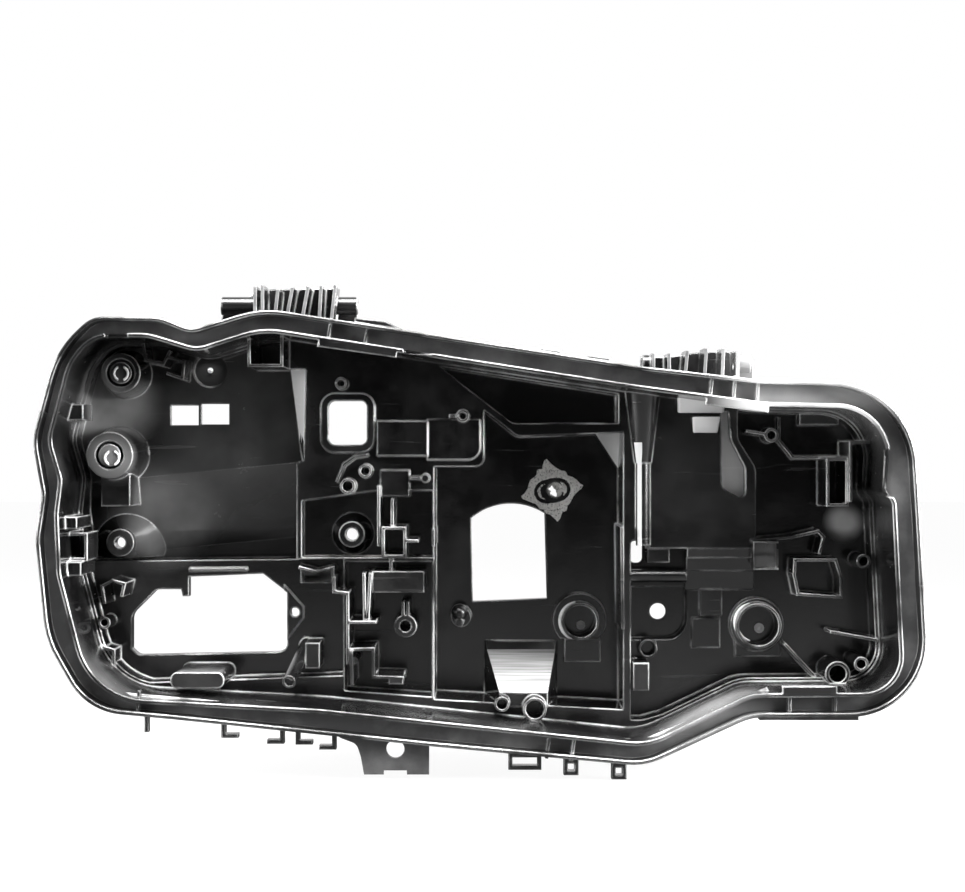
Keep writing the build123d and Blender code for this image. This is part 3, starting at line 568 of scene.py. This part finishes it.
for name, place, size in (
    ("gate_dot_left", (-0.1215, 0.0680, 0.2321), 0.6),
    ("gate_dot_middle", (0.1171, 0.0938, 0.0666), 1.0),
    ("gate_dot_right", (0.2298, 0.0658, 0.0672), 1.07),
):
    copy = bpy.data.objects.new(name, pip.data.copy())
    bpy.context.scene.collection.objects.link(copy)
    bpy.ops.object.select_all(action="DESELECT")
    bpy.context.view_layer.objects.active = copy
    copy.select_set(True)
    copy.location = place
    copy.scale = (size, 1, size)
    bpy.ops.object.transform_apply(location=True, rotation=False, scale=True)
    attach(copy, "root")
bpy.data.objects.remove(pip)

# Domed pin: the rounded black pin on the mound left of the tower. Its lower half is
# drawn out to a straight stem with a flared foot, and the whole is smoothed.
pin_radius = 0.0046
bpy.ops.object.select_all(action="DESELECT")
bpy.ops.mesh.primitive_uv_sphere_add(segments=40, ring_count=24, radius=pin_radius)
pin = bpy.context.object
pin.name = "domed_pin"
for vertex in pin.data.vertices:
    if vertex.co.z < 0:
        wider = 1 + 0.25 * (vertex.co.z / pin_radius) ** 2
        reach = math.hypot(vertex.co.x, vertex.co.y)
        stretch = pin_radius * wider / max(reach, pin_radius * 0.2)
        vertex.co.x *= stretch
        vertex.co.y *= stretch
soften = pin.modifiers.new("even", "SMOOTH")
soften.iterations = 2
bpy.ops.object.modifier_apply(modifier="even")
bpy.ops.transform.rotate(value=math.radians(-90), orient_axis="X", center_override=(0, 0, 0))
pin.location = (0.0380, 0.0765, 0.0760)
bpy.ops.object.transform_apply(location=True, rotation=True, scale=True)
bpy.ops.object.shade_smooth()
pin.data.materials.append(black_plastic)
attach(pin, "root")

# Corner webs: two plastic wedges under the top wall, right of the column, with leaning
# fronts. A block's lower front edge is moved back and drawn in, and its edges bevelled.
web_size = (0.030, 0.016, 0.010)
web_lean = 0.0135
web_draw = 0.86
bpy.ops.object.select_all(action="DESELECT")
bpy.ops.mesh.primitive_cube_add(size=1)
web = bpy.context.object
web.scale = web_size
bpy.ops.object.transform_apply(location=False, rotation=False, scale=True)
for vertex in web.data.vertices:
    if vertex.co.z < 0 and vertex.co.y < 0:
        vertex.co.y += web_lean
        vertex.co.x *= web_draw
chamfer = web.modifiers.new("chamfer", "BEVEL")
chamfer.width = 0.0009
chamfer.segments = 3
bpy.ops.object.modifier_apply(modifier="chamfer")
bpy.ops.object.shade_smooth_by_angle(angle=math.radians(40))
# The nearly white colour of the webs is a painted reflection.
web.data.materials.append(painted_reflection_grey)
for name, place, size in (
    ("corner_web_upper", (0.1905, 0.0405, 0.2095), 1.0),
    ("corner_web_lower", (0.1935, 0.0425, 0.1970), 0.55),
):
    copy = bpy.data.objects.new(name, web.data.copy())
    bpy.context.scene.collection.objects.link(copy)
    bpy.ops.object.select_all(action="DESELECT")
    bpy.context.view_layer.objects.active = copy
    copy.select_set(True)
    copy.location = place
    copy.scale = (size, 0.8, 1)
    bpy.ops.object.transform_apply(location=True, rotation=False, scale=True)
    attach(copy, "root")
bpy.data.objects.remove(web)

# Latches: two small plastic boxes with open fronts, on the right block and over the big
# window. A block loses its front and one side, gets a wall and has its edges rounded.
latch_size = (0.016, 0.009, 0.018)
latch_wall = 0.0014
bpy.ops.object.select_all(action="DESELECT")
bpy.ops.mesh.primitive_cube_add(size=1)
latch = bpy.context.object
latch.scale = latch_size
bpy.ops.object.transform_apply(location=False, rotation=False, scale=True)
bpy.ops.object.mode_set(mode="EDIT")
bpy.ops.mesh.select_mode(type="FACE")
bpy.ops.mesh.select_all(action="DESELECT")
bpy.ops.object.mode_set(mode="OBJECT")
for face in latch.data.polygons:
    face.select = face.normal.y < -0.9 or face.normal.x > 0.9
bpy.ops.object.mode_set(mode="EDIT")
bpy.ops.mesh.delete(type="FACE")
bpy.ops.object.mode_set(mode="OBJECT")
wall = latch.modifiers.new("wall", "SOLIDIFY")
wall.thickness = latch_wall
bpy.ops.object.modifier_apply(modifier="wall")
rounded = latch.modifiers.new("rounded", "BEVEL")
rounded.width = 0.0004
rounded.segments = 2
bpy.ops.object.modifier_apply(modifier="rounded")
bpy.ops.object.shade_smooth_by_angle(angle=math.radians(40))
latch.data.materials.append(black_plastic)
for name, place, size in (
    ("latch_right", (0.2305, 0.0438, 0.1150), (1.0, 1.0, 1.0)),
    ("latch_middle", (-0.0530, 0.0620, 0.1010), (1.25, 1.0, 0.5)),
):
    copy = bpy.data.objects.new(name, latch.data.copy())
    bpy.context.scene.collection.objects.link(copy)
    bpy.ops.object.select_all(action="DESELECT")
    bpy.context.view_layer.objects.active = copy
    copy.select_set(True)
    copy.location = place
    copy.scale = size
    bpy.ops.object.transform_apply(location=True, rotation=False, scale=True)
    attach(copy, "root")
bpy.data.objects.remove(latch)

# Well blends: the rounded plastic blends at the left of two wells. Each is part of a
# ring that thins out towards both ends, with its ends closed.
blend_radius = 0.0130
blend_thickness = 0.0016
blend_end = -0.0030
bpy.ops.object.select_all(action="DESELECT")
bpy.ops.mesh.primitive_torus_add(
    major_radius=blend_radius, minor_radius=blend_thickness, major_segments=72, minor_segments=14)
blend = bpy.context.object
for vertex in blend.data.vertices:
    x, y, z = vertex.co
    reach = math.hypot(x, y)
    thin = max(0.15, -x / reach)
    ring = blend_radius + (reach - blend_radius) * thin
    vertex.co = (x / reach * ring, y / reach * ring, z * thin)
bpy.ops.object.mode_set(mode="EDIT")
bpy.ops.mesh.select_mode(type="FACE")
bpy.ops.mesh.select_all(action="DESELECT")
bpy.ops.object.mode_set(mode="OBJECT")
for face in blend.data.polygons:
    face.select = face.center.x > blend_end
bpy.ops.object.mode_set(mode="EDIT")
bpy.ops.mesh.delete(type="FACE")
bpy.ops.mesh.select_all(action="SELECT")
bpy.ops.mesh.fill_holes(sides=0)
bpy.ops.object.mode_set(mode="OBJECT")
bpy.ops.transform.rotate(value=math.radians(90), orient_axis="X", center_override=(0, 0, 0))
bpy.ops.object.transform_apply(location=False, rotation=True, scale=True)
bpy.ops.object.shade_smooth_by_angle(angle=math.radians(40))
# The nearly white colour of the blends is a painted highlight.
blend.data.materials.append(painted_reflection_grey)
for name, place, size in (
    ("well_blend_middle", (0.1166, 0.0856, 0.07), 1.0),
    ("well_blend_right", (0.2261, 0.0576, 0.0718), 0.95),
):
    copy = bpy.data.objects.new(name, blend.data.copy())
    bpy.context.scene.collection.objects.link(copy)
    bpy.ops.object.select_all(action="DESELECT")
    bpy.context.view_layer.objects.active = copy
    copy.select_set(True)
    copy.location = place
    copy.scale = (size, 1, size)
    bpy.ops.object.transform_apply(location=True, rotation=False, scale=True)
    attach(copy, "root")
bpy.data.objects.remove(blend)
